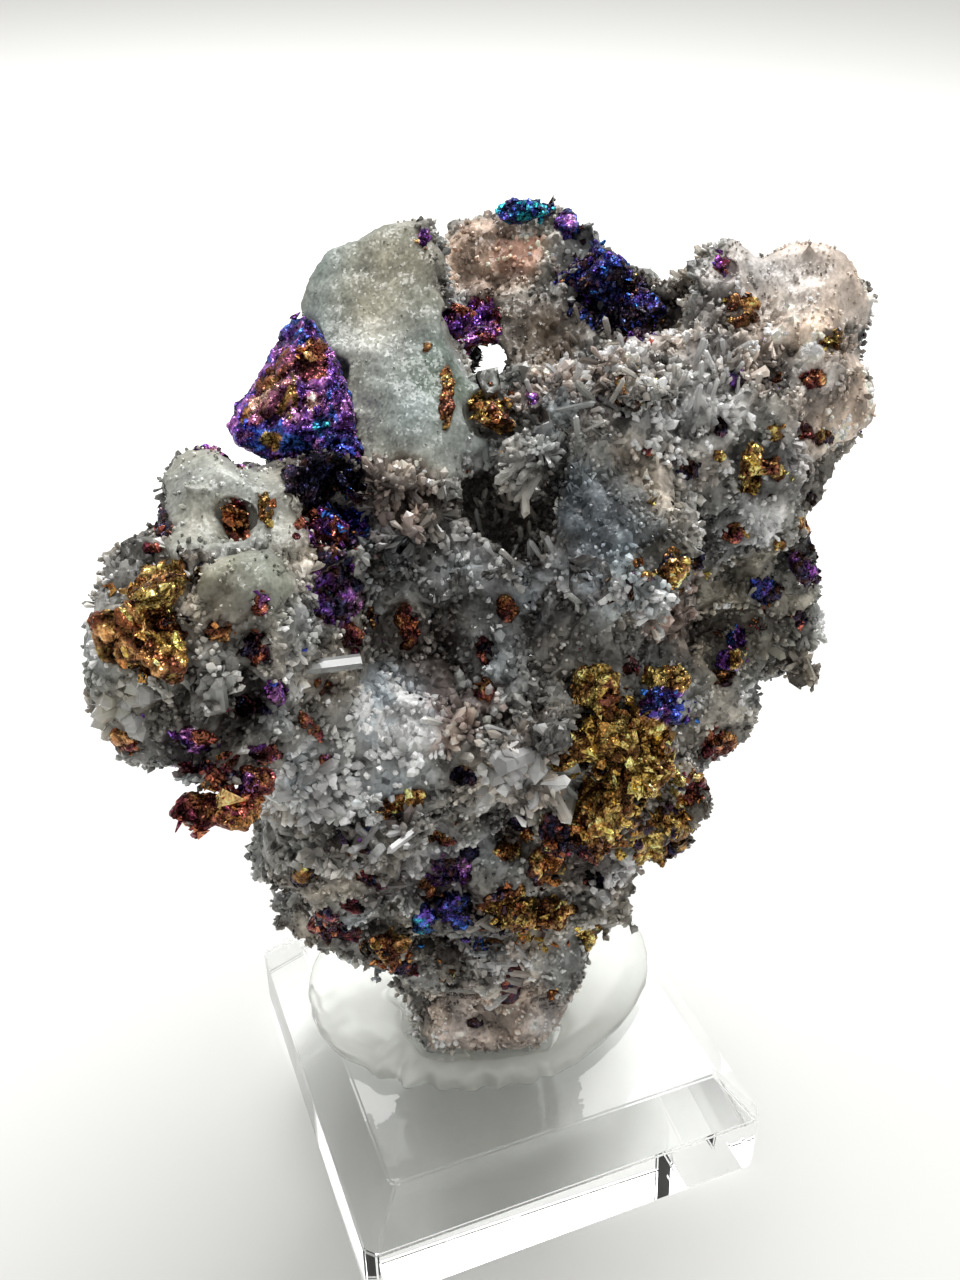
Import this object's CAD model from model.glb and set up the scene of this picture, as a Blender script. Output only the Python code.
"""The looks of a chalcopyrite on quartz specimen on its clear display block.

Lengths in the tables are millimetres. Places in the tables are pixels of the 960 by 1280
photograph: a ray from the camera through one finds its place on the stone, so each thing sits
on what carries it.
"""

import math

import bmesh
import bpy
import numpy as np
from mathutils import Matrix, Vector, noise
from mathutils.bvhtree import BVHTree
from mathutils.kdtree import KDTree


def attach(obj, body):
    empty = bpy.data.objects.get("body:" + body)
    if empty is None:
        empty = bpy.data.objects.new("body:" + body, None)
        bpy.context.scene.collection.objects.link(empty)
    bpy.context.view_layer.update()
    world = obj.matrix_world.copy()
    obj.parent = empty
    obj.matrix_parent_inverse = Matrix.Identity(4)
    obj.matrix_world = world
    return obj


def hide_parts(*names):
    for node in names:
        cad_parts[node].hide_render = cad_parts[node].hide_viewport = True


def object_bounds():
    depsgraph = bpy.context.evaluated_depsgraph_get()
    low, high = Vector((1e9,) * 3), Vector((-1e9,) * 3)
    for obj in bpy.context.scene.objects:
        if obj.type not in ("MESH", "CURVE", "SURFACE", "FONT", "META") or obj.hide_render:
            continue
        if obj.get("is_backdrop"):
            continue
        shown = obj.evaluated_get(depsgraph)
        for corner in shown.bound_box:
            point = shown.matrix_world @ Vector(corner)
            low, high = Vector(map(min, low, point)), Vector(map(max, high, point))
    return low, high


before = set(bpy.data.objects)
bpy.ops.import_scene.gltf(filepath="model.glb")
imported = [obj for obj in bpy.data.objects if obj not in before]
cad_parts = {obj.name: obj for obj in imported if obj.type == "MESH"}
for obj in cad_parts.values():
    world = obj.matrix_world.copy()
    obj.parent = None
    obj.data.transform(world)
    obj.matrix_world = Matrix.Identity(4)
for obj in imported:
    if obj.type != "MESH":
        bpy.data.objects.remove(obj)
CAD_LOW, CAD_HIGH = (np.array(corner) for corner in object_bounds())

MM = 0.001

# The camera of the photograph
PHOTO_WIDTH = 960
PHOTO_HEIGHT = 1280
FOCAL_PIXELS = 1282.0
CAMERA_PLACE = Vector((-42.3, -106.5, 139.45)) * MM
CAMERA_YAW = math.radians(20.91)
CAMERA_PITCH = math.radians(32.01)
CAMERA_ROLL = math.radians(-0.51)
SENSOR = 36.0

# The quartz between the crystals
GROUND_VOXEL = 0.54
GROUND_SMOOTHING = 8
GROUND_INSET = 0.45
CLUSTER_SIZE = 3.6
CLUSTER_SINK = 2.0
DOME_RISE = 1.5
POCKET_DEPTH = 1.5
FOOT_TOP = 15.0

# The crystals
DRUSE_COUNT = 48000
DRUSE_PIECES = 4
SHORTEST = 0.21
ROOM = 0.25
CREVICE_COLOUR = (0.030, 0.022, 0.018)
ROOT_SHADE = 0.56
TIP_SHADE = 1.32
TIP_SHARE = 0.5

# Areas of the quartz: place, reach, colour, crystal length and width
AREAS = {
    "cloudy_top": (350, 285, 9.0, (0.25, 0.26, 0.22), 0.15, 0.40),
    "cloudy_low": (400, 385, 9.0, (0.25, 0.26, 0.225), 0.15, 0.40),
    "cloudy_ridge": (434, 370, 3.4, (0.13, 0.155, 0.11), 0.15, 0.40),
    "crest_pink": (490, 250, 6.0, (0.396, 0.3, 0.24), 0.55, 0.50),
    "crest_salmon": (525, 250, 2.5, (0.506, 0.308, 0.242), 0.55, 0.50),
    "crest_wall": (540, 325, 6.0, (0.17, 0.145, 0.12), 0.50, 0.50),
    "rim_pink": (795, 272, 8.5, (0.56, 0.46, 0.385), 0.36, 0.45),
    "rim_side": (855, 390, 7.0, (0.725, 0.609, 0.522), 0.55, 0.60),
    "rim_inner": (735, 330, 6.5, (0.68, 0.59, 0.52), 0.95, 0.55),
    "needle_ledge": (590, 370, 7.0, (0.72, 0.62, 0.56), 1.35, 0.62),
    "grey_face": (615, 510, 6.5, (0.13, 0.145, 0.155), 0.55, 0.38),
    "grey_middle": (690, 440, 6.5, (0.56, 0.53, 0.49), 0.95, 0.62),
    "grey_low": (560, 590, 5.0, (0.377, 0.392, 0.406), 0.8, 0.55),
    "mint_ridge": (630, 602, 4.2, (0.84, 0.88, 0.86), 0.9, 0.6),
    "pink_low": (690, 615, 4.5, (0.58, 0.42, 0.348), 0.95, 0.65),
    "left_green": (215, 485, 7.0, (0.33, 0.33, 0.285), 0.34, 0.42),
    "left_block": (262, 580, 5.0, (0.231, 0.242, 0.198), 0.32, 0.40),
    "left_dark": (250, 640, 4.0, (0.17, 0.165, 0.15), 0.60, 0.50),
    "valley_dark": (420, 590, 8.0, (0.17, 0.165, 0.155), 0.80, 0.55),
    "valley_pink": (440, 710, 4.5, (0.493, 0.362, 0.304), 0.95, 0.65),
    "lower_clear": (520, 770, 5.0, (0.74, 0.68, 0.6), 1.1, 0.8),
    "lower_white": (350, 790, 7.5, (0.73, 0.72, 0.68), 1.05, 0.75),
    "right_green": (770, 620, 8.0, (0.29, 0.275, 0.232), 0.6, 0.60),
    "cloudy_milky": (372, 340, 2.6, (0.38, 0.40, 0.37), 0.15, 0.40),
    "icy": (528, 772, 3.4, (0.98, 0.93, 0.88), 1.5, 0.95),
    "white_left": (296, 760, 3.4, (0.86, 0.87, 0.85), 1.1, 0.8),
    "white_middle": (398, 700, 3.2, (0.76, 0.79, 0.80), 0.70, 0.55),
    "white_low": (604, 892, 3.6, (0.95, 0.86, 0.8), 1.1, 0.75),
    "white_bars": (492, 958, 3.4, (0.95, 0.9, 0.86), 1.2, 0.7),
    "white_shelf": (430, 850, 2.6, (0.86, 0.84, 0.82), 1.2, 0.75),
    "cavity_pink": (405, 500, 3.6, (0.62, 0.48, 0.42), 1.25, 0.75),
    "cavity_rim": (470, 545, 3.4, (0.55, 0.53, 0.5), 1.2, 0.70),
    "notch_white": (655, 330, 3.4, (0.8, 0.72, 0.66), 1.1, 0.6),
    "face_white": (800, 455, 3.0, (0.74, 0.68, 0.64), 0.80, 0.55),
    "lip_white": (760, 530, 3.0, (0.74, 0.70, 0.66), 0.80, 0.60),
    "lobe_grey": (120, 690, 5.0, (0.46, 0.47, 0.44), 0.60, 0.70),
    "dark_middle": (505, 818, 2.8, (0.10, 0.09, 0.085), 0.75, 0.60),
    "dark_left": (395, 900, 3.0, (0.11, 0.10, 0.10), 0.70, 0.60),
    "dark_foot": (455, 905, 3.0, (0.08, 0.075, 0.085), 0.70, 0.60),
    "dark_right": (590, 868, 2.8, (0.10, 0.085, 0.075), 0.70, 0.60),
    "foot_pink": (500, 1030, 9.0, (0.68, 0.58, 0.52), 0.62, 0.50),
}
PLAIN_COLOUR = (0.32, 0.31, 0.285)
PLAIN_LENGTH = 0.68
PLAIN_WIDTH = 0.60

# Hollows deepened in the quartz: place, reach, depth
HOLLOWS = {
    "cavity": (506, 500, 4.6, 3.2),
    "under_wedge": (326, 490, 3.6, 1.8),
    "right_hole": (688, 468, 1.4, 1.6),
    "right_hole_small": (720, 426, 1.1, 1.3),
    "left_hole": (255, 650, 1.8, 1.7),
    "valley_upper": (390, 570, 3.6, 1.8),
    "valley_lower": (440, 625, 3.4, 1.6),
    "under_left_lobe": (250, 712, 2.6, 1.8),
    "above_foot": (470, 880, 4.0, 1.6),
    "under_cluster": (520, 850, 2.6, 1.6),
    "behind_window": (560, 330, 3.2, 1.2),
    "right_shelf": (720, 640, 4.0, 1.8),
}

# Larger crystals: place, reach in pixels, count, length, width, lean, lean's share
SPRAYS = {
    "blunt_white": (312, 668, 1, 1, 10.5, 1.5, 187, 0.82),
    "blunt_beside": (326, 655, 8, 3, 3.0, 1.1, 200, 0.70),
    "star": (535, 455, 12, 14, 2.2, 0.50, 90, 0.20),
    "star_right": (586, 427, 18, 16, 2.3, 0.55, 60, 0.20),
    "fan": (520, 478, 16, 16, 2.8, 0.75, 235, 0.60),
    "cavity_lip": (512, 530, 46, 26, 2.0, 0.60, 95, 0.65),
    "ledge": (580, 362, 58, 46, 2.4, 0.60, 100, 0.35),
    "ledge_left": (500, 430, 26, 16, 2.0, 0.60, 140, 0.30),
    "needles": (705, 380, 40, 34, 2.6, 0.52, 95, 0.40),
    "notch_right": (680, 275, 14, 10, 2.0, 0.65, 110, 0.45),
    "mint": (634, 602, 22, 18, 1.8, 0.60, 90, 0.30),
    "knobs": (212, 676, 24, 20, 1.9, 1.10, 120, 0.20),
    "bulbs": (126, 706, 26, 12, 1.7, 1.60, 200, 0.30),
    "lobe_low": (104, 733, 10, 8, 1.8, 0.80, 215, 0.60),
    "lobe_tip": (180, 795, 20, 12, 2.6, 1.20, 205, 0.65),
    "icy": (528, 768, 40, 24, 3.6, 1.60, 90, 0.15),
    "icy_low": (548, 800, 24, 12, 3.0, 1.20, 270, 0.30),
    "white_a": (392, 747, 14, 8, 2.4, 0.90, 90, 0.20),
    "white_b": (314, 796, 26, 22, 2.6, 0.95, 90, 0.20),
    "lower": (388, 856, 32, 30, 2.8, 0.75, 90, 0.20),
    "lower_left": (300, 848, 24, 16, 2.4, 0.80, 190, 0.30),
    "bars": (490, 962, 46, 26, 3.4, 0.75, 175, 0.75),
    "foot_white": (604, 892, 34, 30, 2.2, 0.90, 30, 0.30),
    "valley": (470, 720, 40, 26, 2.2, 0.85, 90, 0.20),
    "right_low": (790, 660, 30, 24, 2.0, 0.85, 320, 0.30),
}

SPRAY_SHARE = 0.66
BLUNT_COLOUR = (0.84, 0.86, 0.85)

# Chalcopyrite, by place: reach across and down in pixels, turn, grains, size, hue, mix hue
ORE_FIELDS = {
    "wedge": (288, 400, 42, 58, 20, 150, 1.5, "purple", "blue"),
    "wedge_top": (288, 333, 11, 26, 14, 22, 1.3, "purple", "blue"),
    "wedge_streaks": (272, 386, 15, 48, 32, 60, 1.3, "rose", "copper"),
    "wedge_glint": (284, 396, 15, 22, 20, 26, 1.2, "gold", "rose"),
    "wedge_brown": (314, 360, 16, 22, 0, 26, 1.3, "red", "copper"),
    "wedge_magenta": (314, 402, 10, 12, 0, 12, 1.2, "purple", "rose"),
    "wedge_teal": (320, 424, 9, 8, 0, 8, 1.1, "teal", "blue"),
    "wedge_low": (290, 440, 66, 15, 5, 60, 1.3, "blue", "purple"),
    "wedge_spot": (270, 440, 11, 10, 0, 10, 1.2, "gold", "copper"),
    "wedge_tip": (238, 437, 18, 9, 0, 20, 1.2, "blue", "purple"),
    "wedge_block": (338, 448, 26, 20, 0, 40, 1.5, "blue", "purple"),
    "under_wedge": (322, 480, 42, 30, 0, 40, 1.3, "black", "dark"),
    "under_wedge_blue": (356, 498, 12, 14, 0, 14, 1.1, "blue", "black"),
    "red_mass": (322, 530, 28, 19, 0, 40, 1.3, "red", "purple"),
    "trail": (336, 588, 25, 44, -15, 70, 1.2, "dark", "purple"),
    "trail_blue": (348, 520, 26, 26, 0, 30, 1.2, "blue", "black"),
    "trail_low": (352, 640, 12, 22, 0, 20, 1.0, "dark", "red"),
    "lobe_dark": (246, 706, 24, 12, 10, 26, 1.0, "dark", "red"),
    "lobe_dark_low": (212, 772, 30, 10, 12, 26, 1.0, "dark", "red"),
    "trunk": (556, 852, 42, 34, 35, 40, 1.1, "dark", "red"),
    "trunk_gold": (508, 850, 14, 12, 0, 20, 1.0, "gold", "copper"),
    "foot_rust": (392, 944, 26, 16, 20, 22, 1.3, "copper", "dark"),
    "foot_rust_left": (344, 930, 22, 12, 30, 16, 1.1, "dark", "red"),
    "foot_blue": (424, 924, 12, 18, 20, 14, 1.1, "blue", "teal"),
    "foot_violet": (440, 876, 14, 10, 0, 12, 1.0, "purple", "dark"),
    "gap_icy": (462, 776, 14, 9, 30, 10, 0.9, "black", "dark"),
    "mix_middle": (548, 868, 24, 12, -30, 22, 1.1, "dark", "copper"),
    "mix_right": (604, 846, 16, 20, 20, 20, 1.1, "copper", "dark"),
    "mix_flakes": (436, 838, 22, 7, 15, 12, 0.9, "red", "copper"),
    "mix_left": (372, 880, 16, 7, 20, 8, 0.9, "red", "dark"),
    "mix_foot": (488, 924, 20, 9, 15, 14, 1.1, "black", "dark"),
    "gap_middle": (524, 822, 17, 8, -15, 12, 0.9, "black", "dark"),
    "gap_gold": (566, 806, 12, 9, 0, 9, 0.9, "black", "dark"),
    "gap_shelf": (470, 852, 11, 7, 0, 7, 0.9, "black", "blue"),
    "gap_right": (596, 880, 17, 8, 20, 12, 0.9, "black", "red"),
    "gap_left": (352, 905, 13, 6, 10, 8, 0.9, "black", "red"),
    "gap_foot": (478, 944, 14, 6, 10, 8, 0.9, "black", "blue"),
    "foot_rust_low": (404, 968, 16, 9, 0, 10, 1.0, "dark", "red"),
    "foot_mix": (500, 900, 26, 12, -20, 26, 1.2, "copper", "dark"),
    "foot_mix_low": (528, 926, 22, 10, 25, 18, 1.1, "dark", "copper"),
    "lobe_brown": (163, 526, 9, 15, 0, 10, 1.1, "dark", "red"),
    "lobe_brown_low": (153, 549, 10, 6, 0, 7, 1.0, "red", "dark"),
    "lobe_orange": (236, 520, 13, 22, 0, 28, 1.2, "copper", "red"),
    "lobe_gold_brown": (266, 510, 8, 20, 0, 14, 1.0, "gold", "copper"),
    "lobe_gold_top": (152, 578, 44, 18, -15, 110, 1.3, "gold", "copper"),
    "lobe_gold": (151, 640, 36, 44, -38, 170, 1.4, "gold", "copper"),
    "lobe_grain": (219, 630, 17, 13, 0, 14, 1.3, "copper", "dark"),
    "lobe_hollow": (255, 650, 16, 18, 0, 24, 1.1, "dark", "red"),
    "lobe_pink": (260, 604, 9, 13, 0, 8, 1.0, "purple", "red"),
    "lobe_purple": (277, 693, 12, 12, 0, 12, 1.1, "purple", "dark"),
    "lobe_red": (324, 686, 15, 8, 0, 12, 1.0, "copper", "red"),
    "lobe_streak": (311, 728, 6, 20, -40, 12, 0.9, "red", "copper"),
    "lobe_low_purple": (197, 740, 25, 11, 15, 24, 1.1, "purple", "red"),
    "lobe_low_red": (229, 759, 13, 8, 0, 12, 0.9, "red", "copper"),
    "lobe_low_dark": (265, 753, 18, 10, 0, 18, 1.0, "red", "purple"),
    "lobe_low_dot": (325, 762, 7, 7, 0, 5, 0.9, "red", "purple"),
    "lobe_edge": (125, 743, 20, 9, 35, 18, 1.0, "copper", "red"),
    "lobe_foot": (220, 808, 46, 24, -22, 110, 1.3, "red", "copper"),
    "lobe_foot_top": (246, 788, 15, 14, 0, 26, 1.1, "purple", "red"),
    "saddle": (494, 402, 26, 18, 0, 50, 1.4, "copper", "gold"),
    "saddle_bead": (530, 398, 9, 8, 0, 6, 1.2, "purple", "dark"),
    "roof": (482, 326, 22, 30, 10, 50, 1.4, "purple", "red"),
    "crest_top": (527, 210, 32, 9, 0, 44, 1.4, "blue", "teal"),
    "crest_edge": (569, 225, 12, 15, 0, 18, 1.3, "purple", "blue"),
    "crest_ridge": (602, 252, 22, 13, 30, 28, 1.3, "blue", "dark"),
    "crest_black": (612, 300, 54, 34, 35, 190, 1.1, "dark", "blue"),
    "crest_dot": (423, 238, 6, 12, 0, 10, 1.0, "purple", "copper"),
    "ridge_trail": (446, 400, 7, 32, 0, 18, 0.9, "copper", "gold"),
    "ridge_dot": (427, 347, 5, 6, 0, 5, 0.8, "gold", "copper"),
    "rim_star": (723, 261, 13, 12, 0, 20, 1.3, "red", "purple"),
    "rim_arch": (741, 303, 21, 8, 0, 24, 1.1, "copper", "gold"),
    "rim_gold": (833, 340, 13, 12, 0, 16, 1.1, "gold", "dark"),
    "rim_gold_edge": (866, 350, 10, 7, 0, 8, 1.0, "gold", "dark"),
    "face_brown": (778, 380, 8, 10, 0, 8, 1.0, "copper", "dark"),
    "face_red": (814, 378, 16, 9, 0, 16, 1.0, "red", "copper"),
    "face_purple": (737, 380, 8, 11, 0, 8, 0.9, "purple", "dark"),
    "face_gold": (777, 432, 9, 8, 0, 8, 1.0, "gold", "copper"),
    "face_red_low": (805, 430, 10, 11, 0, 10, 1.0, "red", "dark"),
    "face_dark_gold": (822, 437, 11, 8, 0, 9, 0.9, "dark", "gold"),
    "face_dot": (719, 456, 6, 6, 0, 4, 0.9, "gold", "copper"),
    "face_big_gold": (751, 478, 12, 23, 8, 34, 1.3, "gold", "gold"),
    "face_gold_red": (780, 472, 14, 13, 0, 18, 1.1, "gold", "red"),
    "face_hole": (688, 469, 12, 10, 0, 16, 0.9, "dark", "dark"),
    "face_hole_small": (720, 426, 9, 10, 0, 12, 0.9, "dark", "dark"),
    "face_hole_left": (648, 452, 6, 5, 0, 4, 0.8, "dark", "red"),
    "face_edge": (841, 472, 8, 13, 0, 10, 1.0, "gold", "dark"),
    "face_edge_dark": (812, 498, 6, 7, 0, 5, 0.9, "dark", "dark"),
    "face_gold_low": (805, 525, 10, 11, 0, 12, 1.0, "gold", "copper"),
    "face_gold_small": (780, 545, 6, 6, 0, 5, 0.9, "gold", "gold"),
    "face_red_gold": (733, 532, 13, 11, 0, 14, 1.0, "red", "gold"),
    "granular_gold": (684, 577, 28, 15, -20, 90, 0.9, "gold", "gold"),
    "copper_dot": (637, 562, 5, 5, 0, 4, 0.7, "copper", "gold"),
    "gold_dots": (648, 576, 7, 4, 0, 5, 0.6, "gold", "gold"),
    "gold_specks": (655, 502, 8, 4, 0, 5, 0.6, "gold", "gold"),
    "valley_copper": (411, 633, 10, 20, 0, 20, 1.2, "copper", "red"),
    "valley_left": (371, 613, 9, 12, 0, 9, 1.0, "copper", "dark"),
    "centre_copper": (508, 609, 11, 13, 0, 16, 1.2, "copper", "red"),
    "centre_red": (484, 650, 9, 15, 0, 12, 1.0, "red", "dark"),
    "centre_brown": (485, 689, 12, 12, 0, 14, 1.1, "copper", "red"),
    "lower_gold": (400, 806, 22, 12, -25, 30, 1.2, "gold", "copper"),
    "lower_gold_left": (302, 877, 11, 12, 0, 12, 1.1, "gold", "dark"),
    "lower_copper": (427, 888, 8, 10, 0, 8, 1.0, "copper", "red"),
    "lower_dot": (527, 835, 7, 8, 0, 6, 1.0, "copper", "gold"),
    "lower_dark": (450, 870, 26, 16, 0, 26, 1.0, "dark", "purple"),
    "cluster": (622, 782, 60, 76, 0, 300, 1.9, "gold", "gold"),
    "cluster_top": (619, 697, 20, 16, 0, 26, 1.4, "copper", "gold"),
    "cluster_red": (630, 668, 8, 11, 0, 8, 1.1, "red", "copper"),
    "cluster_purple": (669, 707, 33, 17, 15, 44, 1.4, "blue", "purple"),
    "cluster_brown": (718, 743, 18, 17, 0, 20, 1.4, "red", "copper"),
    "cluster_edge": (692, 787, 19, 18, 0, 22, 1.3, "red", "copper"),
    "cluster_low": (549, 863, 18, 20, 0, 12, 2.6, "copper", "gold"),
    "cluster_low_right": (581, 830, 10, 17, 0, 8, 2.0, "copper", "gold"),
    "cluster_right": (662, 836, 28, 36, 25, 60, 1.7, "gold", "dark"),
    "side_black": (810, 561, 20, 24, 0, 34, 1.3, "dark", "purple"),
    "side_blue": (764, 590, 18, 12, 0, 22, 1.2, "dark", "blue"),
    "side_purple": (736, 638, 11, 14, 0, 14, 1.1, "purple", "blue"),
    "side_gold": (739, 660, 10, 10, 0, 12, 1.1, "gold", "gold"),
    "side_brown": (723, 678, 14, 8, 0, 12, 1.1, "copper", "dark"),
    "side_red": (799, 619, 9, 10, 0, 9, 1.0, "red", "dark"),
    "foot_teal": (421, 932, 9, 17, 10, 12, 1.1, "teal", "blue"),
    "foot_orange": (390, 950, 24, 24, 0, 34, 1.5, "copper", "gold"),
    "foot_purple": (384, 975, 14, 7, 0, 10, 1.0, "purple", "dark"),
    "foot_red": (326, 922, 13, 14, 0, 18, 1.2, "red", "dark"),
    "foot_gold": (540, 922, 54, 26, 10, 100, 1.6, "gold", "copper"),
    "foot_yellow": (593, 938, 12, 17, 0, 22, 1.5, "gold", "gold"),
    "foot_dark": (452, 908, 22, 18, 0, 26, 1.1, "black", "blue"),
    "foot_spots": (475, 1024, 8, 5, 0, 5, 1.0, "dark", "dark"),
    "foot_streak": (512, 986, 11, 24, 15, 16, 1.0, "red", "dark"),
    "foot_dot": (553, 993, 6, 6, 0, 5, 1.0, "copper", "copper"),
}
BACK_FIELDS = 46
SPECKS = 420

HUES = {
    "gold": ((0.66, 0.42, 0.11), (0.95, 0.74, 0.26), (0.42, 0.22, 0.06), (0.18, 0.08, 0.03)),
    "copper": ((0.50, 0.21, 0.07), (0.76, 0.42, 0.17), (0.30, 0.10, 0.04), (0.14, 0.05, 0.03)),
    "rose": ((0.60, 0.27, 0.28), (0.85, 0.56, 0.42), (0.42, 0.13, 0.27), (0.20, 0.06, 0.11)),
    "red": ((0.36, 0.10, 0.07), (0.52, 0.19, 0.10), (0.20, 0.04, 0.07), (0.08, 0.02, 0.02)),
    "purple": ((0.34, 0.10, 0.50), (0.60, 0.25, 0.58), (0.17, 0.07, 0.42), (0.08, 0.02, 0.12)),
    "blue": ((0.06, 0.09, 0.50), (0.05, 0.18, 0.60), (0.12, 0.05, 0.34), (0.02, 0.03, 0.12)),
    "teal": ((0.03, 0.36, 0.50), (0.05, 0.52, 0.56), (0.03, 0.16, 0.44), (0.01, 0.06, 0.14)),
    "black": ((0.010, 0.010, 0.016), (0.02, 0.02, 0.06), (0.015, 0.008, 0.02), (0.004,) * 3),
    "dark": ((0.03, 0.025, 0.03), (0.08, 0.04, 0.06), (0.04, 0.05, 0.12), (0.07, 0.03, 0.02)),
}

MASS_HUES = {
    "chalcopyrite_purple_wedge": ("purple", "blue"),
    "chalcopyrite_dark_trail": ("dark", "purple"),
    "chalcopyrite_lobe_gold": ("gold", "copper"),
    "chalcopyrite_lobe_foot": ("red", "copper"),
    "chalcopyrite_gold_cluster": ("gold", "gold"),
    "chalcopyrite_foot_gold": ("gold", "dark"),
    "chalcopyrite_foot_brown": ("copper", "red"),
    "chalcopyrite_foot_red": ("red", "dark"),
    "chalcopyrite_crest_black": ("dark", "blue"),
    "chalcopyrite_crest_top": ("blue", "teal"),
    "chalcopyrite_window_saddle": ("copper", "gold"),
    "chalcopyrite_window_roof": ("purple", "red"),
    "chalcopyrite_right_gold": ("gold", "copper"),
    "chalcopyrite_right_grains": ("gold", "dark"),
    "chalcopyrite_rim_star": ("red", "purple"),
    "chalcopyrite_rim_arch": ("copper", "gold"),
    "chalcopyrite_right_black": ("dark", "purple"),
    "chalcopyrite_right_purple": ("purple", "blue"),
    "chalcopyrite_valley_copper": ("copper", "red"),
    "chalcopyrite_lobe_copper": ("copper", "red"),
    "chalcopyrite_back_upper": ("blue", "purple"),
    "chalcopyrite_back_lower": ("gold", "copper"),
}
ORE_VOXEL = 0.27
# The plates that chalcopyrite breaks into: size, rise, tilt and depth of the gaps
ORE_BREAKS = ((2.3, 0.34, 0.36, 0.16), (0.9, 0.16, 0.22, 0.07))
RELIEF_SEED = 4
ORE_SMOOTHING = 3
WHOLE_ORE = ("chalcopyrite_purple_wedge",)
CRUST_RISE = 0.35
GRAIN_SHARE = 0.35
GRAIN_SIZE = 0.72
GEL_FLUTES_AT = math.radians(-118.0)
GEL_FLUTE = 0.5
GEL_RIPPLE = 0.45
SHARD_SHAPES = 16
FOLIATED = (
    "wedge", "wedge_top", "wedge_streaks", "wedge_glint", "wedge_low", "wedge_tip",
    "lobe_gold_top", "lobe_gold",
)


def camera_axes():
    """The camera's right, up and forward directions."""
    flat = Vector((math.sin(CAMERA_YAW), math.cos(CAMERA_YAW), 0.0))
    forward = flat * math.cos(CAMERA_PITCH) - Vector((0, 0, math.sin(CAMERA_PITCH)))
    level = Vector((math.cos(CAMERA_YAW), -math.sin(CAMERA_YAW), 0.0))
    top = level.cross(forward)
    right = level * math.cos(CAMERA_ROLL) + top * math.sin(CAMERA_ROLL)
    up = top * math.cos(CAMERA_ROLL) - level * math.sin(CAMERA_ROLL)
    return right, up, forward


RIGHT, UP, FORWARD = camera_axes()


def make_camera():
    """The camera at the photograph's viewing angle."""
    data = bpy.data.cameras.new("camera")
    data.sensor_width = SENSOR
    data.lens = FOCAL_PIXELS / PHOTO_HEIGHT * SENSOR
    data.clip_start = 0.005
    camera = bpy.data.objects.new("camera", data)
    bpy.context.scene.collection.objects.link(camera)
    turn = Matrix((RIGHT, UP, -FORWARD)).transposed().to_4x4()
    camera.matrix_world = Matrix.Translation(CAMERA_PLACE) @ turn
    bpy.context.scene.camera = camera


def picture_ray(across, down):
    """The direction from the camera through a pixel of the photograph."""
    sideways = (across - PHOTO_WIDTH / 2) / FOCAL_PIXELS
    upwards = (PHOTO_HEIGHT / 2 - down) / FOCAL_PIXELS
    return (FORWARD + RIGHT * sideways + UP * upwards).normalized()


def link(name, mesh):
    """Put a mesh in the scene as a named object."""
    thing = bpy.data.objects.new(name, mesh)
    bpy.context.scene.collection.objects.link(thing)
    return thing


def settle(thing):
    """Apply an object's modifiers to its mesh."""
    graph = bpy.context.evaluated_depsgraph_get()
    mesh = bpy.data.meshes.new_from_object(thing.evaluated_get(graph))
    thing.modifiers.clear()
    thing.data = mesh


def remeshed(name, node_name, voxel, smoothing, whole=False):
    """A fine copy of a CAD node's mesh, as a new object; whole fills in what is hollow."""
    piece = link(name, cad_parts[node_name].data.copy())
    piece.data.materials.clear()
    if whole:
        build = bmesh.new()
        build.from_mesh(piece.data)
        hull = bmesh.ops.convex_hull(build, input=build.verts[:])
        outside = set(hull["geom"])
        loose = [face for face in build.faces if face not in outside]
        bmesh.ops.delete(build, geom=loose, context="FACES")
        build.to_mesh(piece.data)
        build.free()
    skin = piece.modifiers.new("skin", "REMESH")
    skin.mode = "VOXEL"
    skin.voxel_size = voxel * MM
    if smoothing:
        soften = piece.modifiers.new("soften", "SMOOTH")
        soften.factor = 0.5
        soften.iterations = smoothing
    settle(piece)
    return piece


def tree_of(meshes):
    """One search tree over several meshes."""
    points = []
    faces = []
    for mesh in meshes:
        start = len(points)
        points.extend(vert.co.copy() for vert in mesh.vertices)
        faces.extend([start + index for index in face.vertices] for face in mesh.polygons)
    return BVHTree.FromPolygons(points, faces)


def point_tree(points):
    """A search tree over points."""
    tree = KDTree(len(points))
    for index, point in enumerate(points):
        tree.insert(point, index)
    tree.balance()
    return tree


def coordinates(mesh):
    """A mesh's points as an array."""
    flat = np.empty(len(mesh.vertices) * 3)
    mesh.vertices.foreach_get("co", flat)
    return flat.reshape(-1, 3)


def normals(mesh):
    """A mesh's vertex normals as an array."""
    flat = np.empty(len(mesh.vertices) * 3)
    mesh.vertex_normals.foreach_get("vector", flat)
    return flat.reshape(-1, 3)


def move_to(mesh, points):
    """Give a mesh new coordinates."""
    mesh.vertices.foreach_set("co", points.ravel())
    mesh.update()


def smoothstep(value):
    """Ease between 0 and 1."""
    value = np.clip(value, 0.0, 1.0)
    return value * value * (3.0 - 2.0 * value)


def unit(vectors):
    """Vectors scaled to length 1."""
    return vectors / np.maximum(np.linalg.norm(vectors, axis=1, keepdims=True), 1e-9)


def field(points, size, seed):
    """Smooth noise at each point, about -1 to 1, with bumps of a size in millimetres."""
    shift = Vector((seed * 3.1, seed * 1.7, seed * 2.3))
    scale = 1.0 / (size * MM)
    return np.array([noise.noise(Vector(point) * scale + shift) for point in points])


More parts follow.
